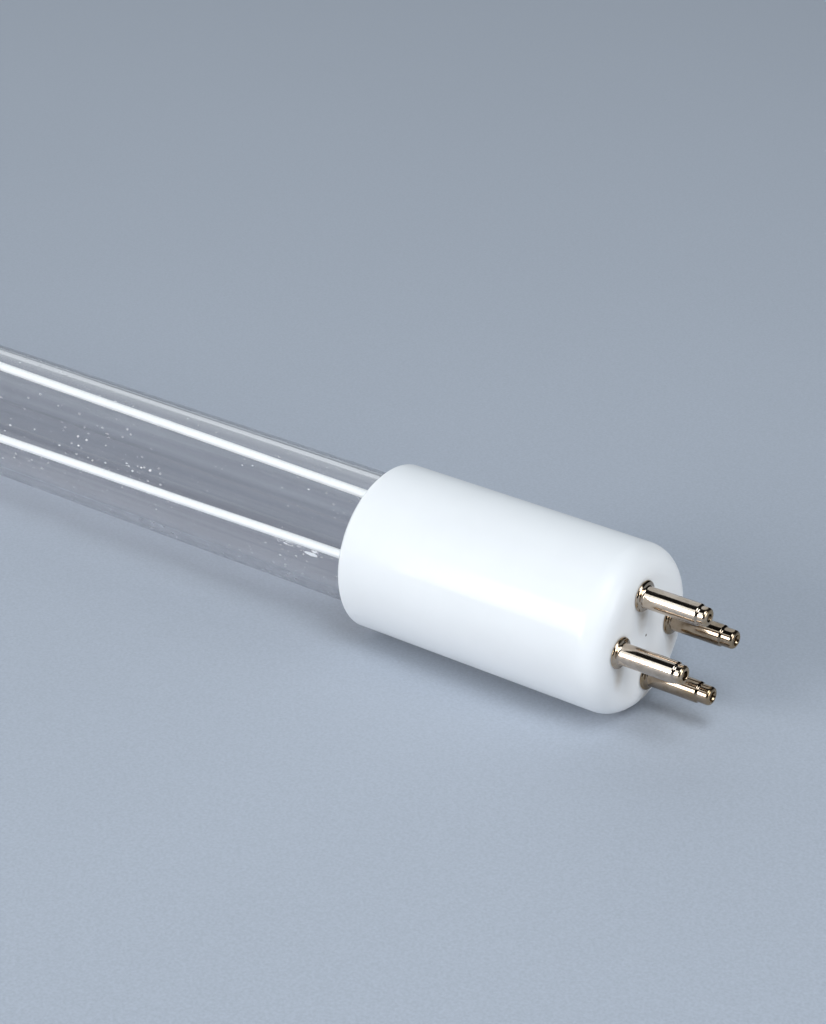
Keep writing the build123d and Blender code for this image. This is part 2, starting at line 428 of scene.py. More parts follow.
@dataclass(frozen=True)
class Quartz:
    """Clear quartz with drawing lines along it, a light haze, many white specks and one scuff near the base.

    Attributes:
        shade: Tint of a lamp's light that has passed the glass.
        edge_shade: The same where the surface turns away from the light.
        mark_clearness: How clear the glass stays under a white mark.
        patch_scale: Scale of the loose groups of specks.
        crumb_scale: Scale of the crumbs that break up each mark.
        speck_size: Size of the specks outside and inside a group.
        trail_place: Middle of the broken trail that leads away from the scuff.
    """

    colour: Triple = (0.93, 0.915, 0.915)
    streak_colour: Triple = (0.80, 0.78, 0.785)
    mark_colour: Triple = (0.9, 0.92, 0.95)
    shade: Triple = (0.77, 0.765, 0.77)
    edge_shade: Triple = (0.35, 0.35, 0.36)
    refraction: float = 1.46
    mark_clearness: float = 0.1
    mark_roughness: float = 0.5
    haze_roughness: float = 0.03
    haze_scale: Triple = (90.0, 260.0, 260.0)
    line_scale: Triple = (12.0, 2200.0, 2200.0)
    line_depth: float = 0.003 * MM
    streak_scale: Triple = (6.0, 900.0, 900.0)
    patch_scale: Triple = (60.0, 260.0, 260.0)
    crumb_scale: Triple = (1500.0, 4200.0, 4200.0)
    speck_scale: Triple = (620.0, 1300.0, 1300.0)
    speck_size: Pair = (0.03, 0.17)
    scuff_place: Triple = (-38.2 * MM, -7.48 * MM, 0.52 * MM)
    scuff_reach: Triple = (1.1 * MM, 1.5 * MM, 0.28 * MM)
    trail_place: Triple = (-41.6 * MM, -7.44 * MM, 0.95 * MM)
    trail_reach: Triple = (2.6 * MM, 1.5 * MM, 0.5 * MM)

    def marks(self, paint: Paint) -> Socket:
        """Small scattered specks in loose groups, and the scuff with its broken trail.

        Args:
            paint: The glass.

        Returns:
            Socket with the share of white.
        """
        grains = paint.grains(self.speck_scale)
        patch = paint.noise(self.patch_scale, 2.0)
        crumb = paint.noise(self.crumb_scale)
        size = paint.spread(patch, 0.4, 0.64, *self.speck_size)
        specks = paint.spread(paint.math("DIVIDE", grains, size), 0.7, 1.0, 1.0, 0.0)
        specks = paint.math("MULTIPLY", specks, paint.spread(crumb, 0.38, 0.58, 0.1, 0.8))
        near = paint.away(self.scuff_place, self.scuff_reach)
        scuff = paint.spread(paint.math("ADD", near, crumb), 1.1, 1.5, 1.0, 0.0)
        near = paint.away(self.trail_place, self.trail_reach)
        trail = paint.math("MULTIPLY", paint.spread(near, 0.4, 1.0, 0.8, 0.0), paint.spread(crumb, 0.5, 0.62))
        return paint.math("MAXIMUM", specks, paint.math("MAXIMUM", scuff, trail))

    def pass_light(self, paint: Paint) -> None:
        """Let a lamp's light through the glass with a light shade, deeper at its edges.

        Args:
            paint: The glass.
        """
        facing = paint.tree.nodes.new("ShaderNodeLayerWeight")
        through = paint.tree.nodes.new("ShaderNodeBsdfTransparent")
        path = paint.tree.nodes.new("ShaderNodeLightPath")
        either = paint.tree.nodes.new("ShaderNodeMixShader")
        edge = paint.spread(facing.outputs["Facing"], 0.45, 0.95)
        paint.feed(paint.mixed(edge, self.shade, self.edge_shade), through.inputs["Color"])
        paint.feed(path.outputs["Is Shadow Ray"], either.inputs["Fac"])
        paint.feed(paint.shader.outputs["BSDF"], either.inputs[1])
        paint.feed(through.outputs["BSDF"], either.inputs[2])
        paint.feed(either.outputs["Shader"], paint.output.inputs["Surface"])

    def material(self) -> Material:
        """Smooth refracting glass with its marks.

        Returns:
            The material.
        """
        paint = Paint("clear_quartz")
        white = self.marks(paint)
        streak = paint.spread(paint.noise(self.streak_scale, 3.0, 0.6), 0.42, 0.66)
        tint = paint.mixed(streak, self.colour, self.streak_colour)
        haze = paint.spread(paint.noise(self.haze_scale, 4.0), 0.35, 0.75, 0.0, self.haze_roughness)
        marked = paint.spread(white, 0.0, 1.0, 0.0, self.mark_roughness)
        paint.set(
            Base_Color=paint.mixed(white, tint, self.mark_colour),
            Roughness=paint.math("ADD", haze, marked),
            Transmission_Weight=paint.spread(white, 0.0, 1.0, 1.0, self.mark_clearness),
            IOR=self.refraction,
            Specular_IOR_Level=0.5,
        )
        paint.bump(paint.noise(self.line_scale, 2.0), self.line_depth)
        self.pass_light(paint)
        return paint.material


@dataclass(frozen=True)
class Ceramic:
    """White satin ceramic with a slightly uneven glaze, a dark speck, and painted shadow with warm bounce
    light under the pins.

    Attributes:
        cloud_tone: Tone of the faintly darker clouds in the white.
        softness: How far light spreads inside the white body.
        pin_shade_reach: Half lengths of the painted shadow under a pin, along each axis.
        pin_shade_drop: How far the middle of the painted shadow lies below its pin's.
        shading_pins: Middle of each pin on the pin face, with painted shadow and warm bounce light below it.
        speck_edge: Distances in millimetres where the speck starts to fade and ends.
    """

    colour: Triple = (0.845, 0.857, 0.868)
    cloud_tone: float = 0.975
    cloud_scale: Triple = (120.0, 120.0, 120.0)
    softness: float = 0.6 * MM
    roughness: Pair = (0.42, 0.6)
    blotch_scale: Triple = (300.0, 700.0, 700.0)
    grain_scale: Triple = (5200.0, 5200.0, 5200.0)
    grain_depth: float = 0.0016 * MM
    glaze: float = 0.25
    glaze_roughness: float = 0.09
    glaze_refraction: float = 1.5
    wave_scale: Triple = (260.0, 420.0, 420.0)
    wave_depth: float = 0.05 * MM
    # Colour, strength and reach of the painted pin shadow with its warm bounce light.
    pin_shade: Triple = (0.52, 0.45, 0.36)
    pin_shade_strength: float = 0.8
    pin_shade_reach: Triple = (1 / 700, 1 / 850, 1 / 380)
    pin_shade_drop: float = 2.3 * MM
    shading_pins: tuple[Triple, ...] = ()
    speck: Triple = (0.12, 0.10, 0.08)
    speck_place: Triple = (0.0, 0.0, 0.0)
    speck_edge: Pair = (0.1, 0.17)

    def material(self) -> Material:
        """Glaze over a fine-grained body.

        Returns:
            The material.
        """
        paint = Paint("glazed_ceramic")
        blotch = paint.noise(self.blotch_scale)
        cloud = paint.spread(paint.noise(self.cloud_scale), 0.3, 0.7)
        colour = paint.mixed(cloud, self.colour, toned(self.colour, self.cloud_tone))
        # Painted shadow of each pin, warmed by its bounce light, darkens the face below the pin.
        for along, across, up in self.shading_pins:
            away = paint.away((along, across, up - self.pin_shade_drop), self.pin_shade_reach)
            share = paint.spread(away, 0.1, 1.0, self.pin_shade_strength, 0.0)
            share = paint.math("MULTIPLY", share, paint.spread(blotch, 0.3, 0.7, 0.5, 1.0))
            colour = paint.mixed(share, colour, self.pin_shade)
        near = paint.away(self.speck_place, (MM, MM, MM))
        paint.set(
            Base_Color=paint.mixed(paint.spread(near, *self.speck_edge, 1.0, 0.0), colour, self.speck),
            Roughness=paint.spread(blotch, 0.35, 0.68, *self.roughness),
            Specular_IOR_Level=0.2,
            Coat_Weight=self.glaze,
            Coat_Roughness=self.glaze_roughness,
            Coat_IOR=self.glaze_refraction,
            Subsurface_Weight=1.0,
            Subsurface_Scale=self.softness,
            Subsurface_Radius=(1.0, 1.0, 1.0),
        )
        paint.bump(paint.noise(self.grain_scale, 2.0), self.grain_depth)
        paint.bump(paint.noise(self.wave_scale, 2.0), self.wave_depth, Layer.COAT)
        return paint.material


@dataclass(frozen=True)
class PinMetal:
    """Warm nickel plate, brown-tinted at the rims and at the open tips; a high share of brown all over is
    painted shade.

    Attributes:
        name: Name of the material.
        browning_and_shade: How brown the plate is between its browner clouds; a high value darkens the whole
            plate as painted shade.
        cloud_browning: How much browner the clouds are.
        flange_place: Where the brown tint of the rim starts to fade, along the lamp.
        flange_fade: Length over which it fades.
        tip_place: Where the brown tint of the tip starts.
        tip_fade: Length over which it grows.
    """

    name: str
    browning_and_shade: float
    cloud_browning: float = 0.45
    plate: Triple = (0.62, 0.52, 0.425)
    brown: Triple = (0.25, 0.185, 0.12)
    rim: Triple = (0.46, 0.325, 0.175)
    flange_place: float = 0.25 * MM
    flange_fade: float = 0.35 * MM
    tip_place: float = 7.0 * MM
    tip_fade: float = 0.9 * MM
    roughness: Pair = (0.06, 0.16)
    tip_roughness: float = 0.2
    cloud_scale: Triple = (700.0, 900.0, 900.0)
    mark_scale: Triple = (250.0, 1500.0, 1500.0)
    mark_depth: float = 0.01 * MM

    def material(self) -> Material:
        """Plate whose tint and roughness change along the pin.

        Returns:
            The material.
        """
        paint = Paint(self.name)
        split = paint.tree.nodes.new("ShaderNodeSeparateXYZ")
        paint.feed(paint.place, split.inputs["Vector"])
        along = split.outputs["X"]
        cloud = paint.noise(self.cloud_scale, 4.0, 0.65)
        at_tip = paint.spread(along, self.tip_place, self.tip_place + self.tip_fade, 0.0, 0.8)
        at_rim = paint.spread(along, self.flange_place, self.flange_place + self.flange_fade, 0.55, 0.0)
        share = paint.math("ADD", at_tip, at_rim)
        share = paint.math("MULTIPLY", share, paint.spread(cloud, 0.32, 0.62, 0.25, 1.15))
        # Brown clouds on the plate; a high base share here darkens the whole pin as painted shade.
        brown = paint.spread(cloud, 0.45, 0.75, self.browning_and_shade, self.browning_and_shade + self.cloud_browning)
        tint = paint.mixed(brown, self.plate, self.brown)
        worn = paint.spread(at_tip, 0.3, 0.8, 0.0, self.tip_roughness)
        paint.set(
            Metallic=1.0,
            Base_Color=paint.mixed(share, tint, self.rim),
            Roughness=paint.math("ADD", paint.spread(cloud, 0.3, 0.75, *self.roughness), worn),
        )
        paint.bump(paint.noise(self.mark_scale, 2.0), self.mark_depth)
        return paint.material


@dataclass(frozen=True)
class SleeveWhite:
    """Soft white insulation with faint dirt."""

    colour: Triple = (0.95, 0.955, 0.95)
    dirt_colour: Triple = (0.78, 0.78, 0.77)
    dirt_share: float = 0.25
    dirt_scale: Triple = (160.0, 900.0, 900.0)
    fine_scale: Triple = (900.0, 4000.0, 4000.0)
    fine_depth: float = 0.004 * MM
    roughness: Pair = (0.38, 0.5)
    softness: float = 0.4 * MM

    def material(self) -> Material:
        """Slightly waxy white.

        Returns:
            The material.
        """
        paint = Paint("white_sleeve")
        dirt = paint.spread(paint.noise(self.dirt_scale, 4.0), 0.55, 0.8, 0.0, self.dirt_share)
        fine = paint.noise(self.fine_scale, 2.0)
        paint.set(
            Base_Color=paint.mixed(dirt, self.colour, self.dirt_colour),
            Roughness=paint.spread(fine, 0.3, 0.7, *self.roughness),
            Subsurface_Weight=0.4,
            Subsurface_Scale=self.softness,
            Subsurface_Radius=(1.0, 1.0, 1.0),
        )
        paint.bump(fine, self.fine_depth)
        return paint.material


@dataclass(frozen=True)
class Cement:
    """Dry off-white cement."""

    colour: Triple = (0.80, 0.78, 0.72)
    pit_colour: Triple = (0.6, 0.57, 0.5)
    pit_scale: Triple = (1800.0, 1800.0, 1800.0)
    pit_depth: float = 0.08 * MM
    roughness: Pair = (0.95, 0.8)

    def material(self) -> Material:
        """Rough and pitted.

        Returns:
            The material.
        """
        paint = Paint("dry_cement")
        pits = paint.noise(self.pit_scale, 5.0, 0.7)
        paint.set(
            Base_Color=paint.mixed(paint.spread(pits, 0.3, 0.7), self.pit_colour, self.colour),
            Roughness=paint.spread(pits, 0.3, 0.7, *self.roughness),
        )
        paint.bump(pits, self.pit_depth)
        return paint.material


@dataclass(frozen=True)
class WireMetal:
    """Bare metal of a wire, a foil or a drop.

    Attributes:
        name: Name of the material.
        colour: Colour of clean metal.
        dull: Colour of its dull patches.
        roughness: Least and most roughness.
        mark_scale: Scale of its marks along each axis.
    """

    name: str
    colour: Triple
    dull: Triple
    roughness: Pair
    mark_scale: Triple = (400.0, 8000.0, 8000.0)
    mark_depth: float = 0.003 * MM
    patch_scale: Triple = (900.0, 900.0, 900.0)

    def material(self) -> Material:
        """Metal with marks and dull patches.

        Returns:
            The material.
        """
        paint = Paint(self.name)
        marks = paint.noise(self.mark_scale)
        patch = paint.spread(paint.noise(self.patch_scale, 4.0), 0.4, 0.7)
        paint.set(
            Metallic=1.0,
            Base_Color=paint.mixed(patch, self.colour, self.dull),
            Roughness=paint.spread(marks, 0.3, 0.7, *self.roughness),
        )
        paint.bump(marks, self.mark_depth)
        return paint.material


TUNGSTEN = WireMetal("coated_tungsten", (0.30, 0.29, 0.28), (0.62, 0.61, 0.58), (0.45, 0.8))
MERCURY = WireMetal("mercury", (0.82, 0.82, 0.84), (0.78, 0.78, 0.8), (0.02, 0.05))
NICKEL = WireMetal("drawn_nickel", (0.66, 0.64, 0.60), (0.5, 0.47, 0.42), (0.25, 0.45))
FOIL = WireMetal("bright_foil", (0.62, 0.62, 0.63), (0.45, 0.45, 0.47), (0.2, 0.4), (900.0, 900.0, 900.0))


@dataclass(frozen=True)
class FloorPaper:
    """Pale blue-grey floor with painted light falloff: a little lighter towards the viewer.

    Attributes:
        toward: Direction along the floor towards the viewer.
        falloff_places: Places along that direction where the painted light falloff starts and stops.
        falloff_tone: Tone of the floor before the first of them, where the painted falloff leaves it darkest.
        mottle_tones: Tones of the mottle's darkest and lightest spots.
        mottle_share: Share of the fine mottle beside the broad one.
    """

    colour: Triple = (0.447, 0.487, 0.553)
    toward: Triple = (0.6, -0.8, 0.0)
    # Painted light falloff along the floor.
    falloff_places: Pair = (-0.35, 0.12)
    falloff_tone: float = 0.85
    mottle_tones: Pair = (0.89, 1.105)
    mottle_share: float = 0.8
    mottle_scale: Triple = (3200.0, 3200.0, 3200.0)
    mottle_depth: float = 0.01 * MM
    broad_scale: Triple = (14.0, 14.0, 14.0)

    def material(self) -> Material:
        """Matte with a faint mottle and the painted light falloff.

        Returns:
            The material.
        """
        paint = Paint("floor_paper")
        mottle = paint.noise(self.mottle_scale, 3.0, 0.6)
        fine = paint.spread(mottle, 0.3, 0.7, 0.0, self.mottle_share)
        broad = paint.spread(paint.noise(self.broad_scale, 2.0), 0.3, 0.7, 0.0, 1.0 - self.mottle_share)
        darker, lighter = (toned(self.colour, tone) for tone in self.mottle_tones)
        colour = paint.mixed(paint.math("ADD", fine, broad), darker, lighter)
        # Painted light falloff: the floor's colour is darker away from the viewer and lighter towards it.
        nearer = paint.vector("DOT_PRODUCT", paint.place, self.toward)
        fade = paint.spread(nearer.outputs["Value"], *self.falloff_places, 1.0, 0.0)
        paint.set(
            Base_Color=paint.mixed(fade, colour, toned(self.colour, self.falloff_tone)),
            Roughness=0.6,
            Specular_IOR_Level=0.3,
        )
        paint.bump(mottle, self.mottle_depth)
        return paint.material


@dataclass(frozen=True)
class LampAxes:
    """Directions square to the lamp's axis.

    Attributes:
        across: From the lower return wire's side to the upper one's.
        outward: From the axis towards the return wires.
    """

    across: np.ndarray
    outward: np.ndarray

    @classmethod
    def from_pins(cls) -> "LampAxes":
        """Read both directions from the places of the four pins.

        Returns:
            The axes.
        """
        middle = [np.mean(node_box(f"contact_pin_{number}"), axis=0) for number in (1, 2, 3, 4)]
        across = middle[0] - middle[1]
        outward = middle[0] + middle[1] - middle[2] - middle[3]
        return cls(across / np.linalg.norm(across), outward / np.linalg.norm(outward))

    def placed(self, along: np.ndarray, across: np.ndarray, outward: np.ndarray) -> np.ndarray:
        """Points in the frame of the solids.

        Args:
            along: Places along the lamp.
            across: Places across it.
            outward: Places towards the return wires.

        Returns:
            Array of points, of the three arrays' common shape by three.
        """
        along, across, outward = np.broadcast_arrays(along, across, outward)
        straight = along[..., None] * np.array([1.0, 0.0, 0.0])
        return straight + across[..., None] * self.across + outward[..., None] * self.outward


@dataclass
class QuartzTube:
    """Clear tube with both ends pressed flat.

    Attributes:
        slit: Height of the hollow where the tube is pressed.
        hollow_gap: How much further than the flat part the hollow stays away from the tube's end.
        panel_depth: Depth of the field between the ribs of a flat end.
        panel_ease: Width of the slope from a rib down to that field.
        round_power: Exponent of the round section.
        flat_power: Exponent of the flat section.
        bend_margin: Length past a shoulder where the rows are still dense.
        stub_root: Depth of the exhaust stub's foot in the flat end.
        stub_foot: Height of its foot.
        stub_flare: Radius of its foot as a share of its own.
        tip_clearance: Room between its point and the tube's radius.
    """

    axes: LampAxes
    wall: float = 1.0 * MM
    flat_length: float = 8.0 * MM
    flat_thickness: float = 3.4 * MM
    flat_width: float = 12.6 * MM
    shoulder: float = 3.4 * MM
    slit: float = 1.4 * MM
    hollow_gap: float = 1.0 * MM
    panel_depth: float = 0.45 * MM
    rib: float = 1.7 * MM
    edge_round: float = 0.5 * MM
    panel_ease: float = 0.6 * MM
    round_power: float = 2.0
    flat_power: float = 5.0
    bend_margin: float = 1.0 * MM
    stub_root: float = 0.3 * MM
    stub_foot: float = 0.9 * MM
    stub_flare: float = 1.3
    tip_radius: float = 1.25 * MM
    tip_point: float = 0.65 * MM
    tip_clearance: float = 0.45 * MM
    body_rows: int = 90
    end_rows: int = 60
    columns: int = 160

    def __post_init__(self) -> None:
        """Read the tube's ends and radius from its solid."""
        low, high = node_box("quartz_tube")
        self.low, self.high = low[0], high[0]
        self.radius = (high[2] - low[2]) / 2

    def section(
        self, along: np.ndarray, depth: float, radius: float, thickness: float, width: float
    ) -> np.ndarray:
        """Surface of the tube or of its hollow.

        At each place along the lamp the section is a superellipse. Its half height falls from the radius to
        half the thickness by a smooth step over the shoulder, its half width falls to half the width, and its
        exponent rises from that of a circle to that of a slab with round edges.

        Args:
            along: Places of the rows.
            depth: How far the flat part reaches into the tube from each end.
            radius: Radius of the round part.
            thickness: Thickness of the flat part.
            width: Width of the flat part.

        Returns:
            Grid of points, rows by columns by three.
        """
        inside = np.minimum(along - self.low, self.high - along)
        round_share = smooth_step((inside - depth) / self.shoulder)
        height = thickness / 2 + (radius - thickness / 2) * round_share
        half_width = width / 2 + (radius - width / 2) * round_share
        power = 2.0 / (self.flat_power - (self.flat_power - self.round_power) * round_share**0.5)
        angle = np.linspace(0.0, 2.0 * np.pi, self.columns, endpoint=False)
        cosine, sine = np.cos(angle)[None], np.sin(angle)[None]
        across = half_width[:, None] * np.sign(cosine) * np.abs(cosine) ** power[:, None]
        outward = height[:, None] * np.sign(sine) * np.abs(sine) ** power[:, None]
        return np.stack([np.broadcast_to(along[:, None], across.shape), across, outward], axis=-1)

    def pressed(self, grid: np.ndarray) -> np.ndarray:
        """Sink the field between the ribs into both faces of each flat end, by a product of smooth steps.

        Args:
            grid: Grid of points in lamp coordinates, which is changed.

        Returns:
            The same grid.
        """
        inside = np.minimum(grid[..., 0] - self.low, self.high - grid[..., 0])
        in_length = smooth_step((inside - self.rib) / self.panel_ease)
        in_length *= smooth_step((self.flat_length - self.rib - inside) / self.panel_ease)
        in_width = smooth_step((self.flat_width / 2 - self.rib - np.abs(grid[..., 1])) / self.panel_ease)
        grid[..., 2] -= np.sign(grid[..., 2]) * self.panel_depth * in_length * in_width
        return grid

    def closed(self, grid: np.ndarray) -> np.ndarray:
        """Close both ends of a grid: the end row shrinks to its middle by a quarter circle and a flat.

        Args:
            grid: Grid of points in lamp coordinates.

        Returns:
            Grid with the rows of both ends added.
        """
        turn = np.linspace(0.0, np.pi / 2, 7)[1:]
        rows = []
        for row, sign in ((grid[0], -1.0), (grid[-1], 1.0)):
            middle = row.mean(axis=0)
            spoke = row - middle
            reach = np.linalg.norm(spoke, axis=1, keepdims=True)
            inward = np.minimum(self.edge_round, reach) * spoke / reach
            ring = row[None] - inward[None] * (1 - np.cos(turn))[:, None, None]
            ring[..., 0] += sign * self.edge_round * np.sin(turn)[:, None]
            centre = ring[-1:].mean(axis=1, keepdims=True) + np.zeros_like(ring[-1:])
            rows.append(np.concatenate([ring, centre]))
        return np.concatenate([rows[0][::-1], grid, rows[1]])

    def rows(self, low: float, high: float, depth: float) -> np.ndarray:
        """Places along the tube, dense in the flat ends and their shoulders.

        Args:
            low: First place.
            high: Last place.
            depth: How far the flat part reaches into the tube from each end.

        Returns:
            The places in order.
        """
        bend = depth + self.shoulder + self.bend_margin
        first = np.linspace(low, self.low + bend, self.end_rows)
        middle = np.linspace(self.low + bend, self.high - bend, self.body_rows)[1:-1]
        return np.concatenate([first, middle, np.linspace(self.high - bend, high, self.end_rows)])

    def placed(self, grid: np.ndarray) -> np.ndarray:
        """Turn a grid of lamp coordinates to the frame of the solids."""
        return self.axes.placed(grid[..., 0], grid[..., 1], grid[..., 2])

    def exhaust_stub(self) -> Shell:
        """Tapered stub beside the far flat end.

        A flared foot, a straight cone and a quarter circle are turned about the stub's axis.

        Returns:
            The stub's surface.
        """
        turn = np.linspace(0.0, np.pi / 2, 9)
        reach = self.radius - self.tip_clearance
        root = self.flat_thickness / 2 - self.stub_root
        foot = [0.0, self.tip_radius * self.stub_flare, self.tip_radius]
        radius = np.concatenate([foot, self.tip_point * np.cos(turn)])[:, None]
        point = reach - self.tip_point * (1 - np.sin(turn))
        height = np.concatenate([[root, root, root + self.stub_foot], point])[:, None]
        angle = np.linspace(0.0, 2.0 * np.pi, 40, endpoint=False)[None]
        along = self.low + self.flat_length + self.tip_radius / 2 + radius * np.cos(angle)
        return Shell(self.axes.placed(along, radius * np.sin(angle), -height))

    def make(self, material: Material) -> None:
        """Build the wall as an outer shell and a hollow, and the exhaust stub.

        Args:
            material: The glass.
        """
        edge = self.edge_round
        along = self.rows(self.low + edge, self.high - edge, self.flat_length)
        outer = self.section(along, self.flat_length, self.radius, self.flat_thickness, self.flat_width)
        outer = self.placed(self.closed(self.pressed(outer)))
        depth = self.flat_length + self.hollow_gap
        along = self.rows(self.low + depth + edge, self.high - depth - edge, depth)
        width = self.flat_width - 2 * self.wall
        inner = self.section(along, depth, self.radius - self.wall, self.slit, width)
        inner = self.placed(self.closed(inner))
        shells = [Shell(outer), Shell(inner, hollow=True)]
        finish_piece(build("tube_wall", shells), material, "quartz", "quartz_tube")
        finish_piece(build("exhaust_stub", [self.exhaust_stub()]), material, "quartz")


@dataclass
class ContactPin:
    """Hollow pin with a rolled flange, a curled neck, a stepped nose and a rivet rim.

    Attributes:
        number: Number of the pin, as in the name of its solid.
        nose_length: Length of the narrower nose.
        mouth: Radius of the open mouth.
        neck: How far the curl between flange and shank reaches.
        floor: Thickness of the ceramic floor that the rivet holds.
        crisp, eased, soft: Roundings of the corners, from the sharpest on.
        tip_round: Rounding of the tip.
        step: Longest stretch between two rings.
    """

    number: int
    nose_length: float
    mouth: float
    radius: float = 1.175 * MM
    bore: float = 0.5 * MM
    flange_radius: float = 1.72 * MM
    flange_thickness: float = 0.42 * MM
    neck: float = 0.3 * MM
    nose_radius: float = 1.02 * MM
    nose_slope: float = 0.16 * MM
    mouth_depth: float = 0.3 * MM
    rivet_radius: float = 1.65 * MM
    rivet_height: float = 0.7 * MM
    floor: float = 4.5 * MM
    crisp: float = 0.02 * MM
    eased: float = 0.05 * MM
    soft: float = 0.1 * MM
    rivet_round: float = 0.2 * MM
    flange_round: float = 0.14 * MM
    flange_curl: float = 0.2 * MM
    tip_round: float = 0.42 * MM
    step: float = 0.25 * MM
    sharp_angle: float = 50.0
    columns: int = 96

    def __post_init__(self) -> None:
        """Read the pin's axis and tip from its solid."""
        low, high = node_box(f"contact_pin_{self.number}")
        self.axis = (low + high) / 2
        self.tip = high[0]

    def outline(self) -> np.ndarray:
        """Half section of the pin, from the rivet along the outside to the open mouth.

        Returns:
            Closed loop of places along the pin and radii.
        """
        inner = -self.floor
        nose = self.tip - self.nose_length
        corners = [
            (inner - self.rivet_height, self.bore, self.eased),
            (inner - self.rivet_height, self.radius, self.rivet_round),
            (inner - self.rivet_height / 2, self.rivet_radius, self.rivet_round * 0.75),
            (inner, self.rivet_radius, self.eased),
            (inner, self.radius, self.crisp),
            (0.0, self.radius, self.crisp),
            (0.0, self.flange_radius, self.flange_round),
            (self.flange_thickness * 0.7, self.flange_radius, self.flange_curl),
            (self.flange_thickness, self.radius + self.neck * 0.6, self.soft),
            (self.flange_thickness * 1.15, self.radius, self.neck * 0.5),
            (nose - self.nose_slope, self.radius, self.soft),
            (nose, self.nose_radius, self.soft),
            (self.tip, self.nose_radius, self.tip_round),
            (self.tip, self.mouth, self.soft),
            (self.tip - self.mouth_depth, self.bore, self.soft),
        ]
        return rounded(corners, 9)

    def stepped(self, loop: np.ndarray) -> np.ndarray:
        """Split the long sides of a loop so that no step along it is longer than the set one.

        Args:
            loop: Points of the closed loop.

        Returns:
            The loop with the points of the splits added.
        """
        side = np.roll(loop, -1, axis=0) - loop
        count = np.maximum(1, np.ceil(np.linalg.norm(side, axis=1) / self.step).astype(int))
        order = np.arange(count.sum()) - np.repeat(np.cumsum(count) - count, count)
        part = np.repeat(side / count[:, None], count, axis=0)
        return np.repeat(loop, count, axis=0) + part * order[:, None]

    def make(self, material: Material) -> None:
        """Turn the outline about the pin's axis.

        Args:
            material: The plate.
        """
        loop = self.stepped(self.outline())
        along, radius = loop[:, :1], loop[:, 1:]
        angle = np.linspace(0.0, 2.0 * np.pi, self.columns, endpoint=False)[None]
        points = np.stack([along + 0 * angle, radius * np.cos(angle), radius * np.sin(angle)], axis=-1)
        points[..., 1:] += self.axis[1:]
        piece = build(f"pin_{self.number}", [Shell(points, wrap_rows=True)], self.sharp_angle)
        finish_piece(piece, material, "pin_metal", f"contact_pin_{self.number}")


@dataclass
class Sleeve:
    """White sleeve on the straight run of a return wire.

    Attributes:
        side: Which of the two sleeves.
        wander: How far it drifts to each side of a straight line.
        wave: Length of one drift to both sides.
        phases: Angle in radians at which the upper and the lower sleeve's drift starts.
        swell: How much its radius grows and shrinks, as a share of it.
        swell_rate: Angle in radians that the swelling turns by in one drift.
    """

    side: Side
    radius: float = 0.5 * MM
    bore: float = 0.34 * MM
    wander: float = 0.018 * MM
    wave: float = 41.0 * MM
    phases: Pair = (1.3, 4.1)
    swell: float = 0.012
    swell_rate: float = 9.0
    rows: int = 240
    columns: int = 32

    def line(self) -> tuple[np.ndarray, np.ndarray]:
        """Both ends of the sleeve's middle line, from the end rings of its solid.

        Returns:
            The first and the last point.
        """
        points = node_points(f"sleeve_{self.side.value}")
        ends = []
        for place in (points[:, 0].min(), points[:, 0].max()):
            ring = points[np.abs(points[:, 0] - place) < 0.2 * MM]
            ends.append((ring.min(axis=0) + ring.max(axis=0)) / 2)
        return ends[0], ends[1]

    def make(self, material: Material) -> None:
        """Carry a ring along the line, out and back, with a slow drift to each side.

        Args:
            material: The insulation.
        """
        start, finish = self.line()
        share = np.linspace(0.0, 1.0, self.rows)
        path = start + share[:, None] * (finish - start)
        straight = (finish - start) / np.linalg.norm(finish - start)
        outward = path.mean(axis=0) * np.array([0.0, 1.0, 1.0])
        first = np.cross(straight, outward)
        first /= np.linalg.norm(first)
        second = np.cross(straight, first)
        phase = self.phases[0] if self.side is Side.UPPER else self.phases[1]
        length = path[:, 0] / self.wave
        path = path + self.wander * np.sin(2 * np.pi * length + phase)[:, None] * first
        firsts = np.tile(first, (self.rows, 1))
        seconds = np.tile(second, (self.rows, 1))
        swell = 1.0 + self.swell * np.sin(self.swell_rate * length + phase)
        outer = carried(path, firsts, seconds, self.radius * swell, self.columns)
        inner = carried(path, firsts, seconds, np.full(self.rows, self.bore), self.columns)
        wall = Shell(np.concatenate([outer, inner[::-1]]), wrap_rows=True)
        piece = build(f"white_{self.side.value}_sleeve", [wall])
        finish_piece(piece, material, "sleeve", f"sleeve_{self.side.value}")


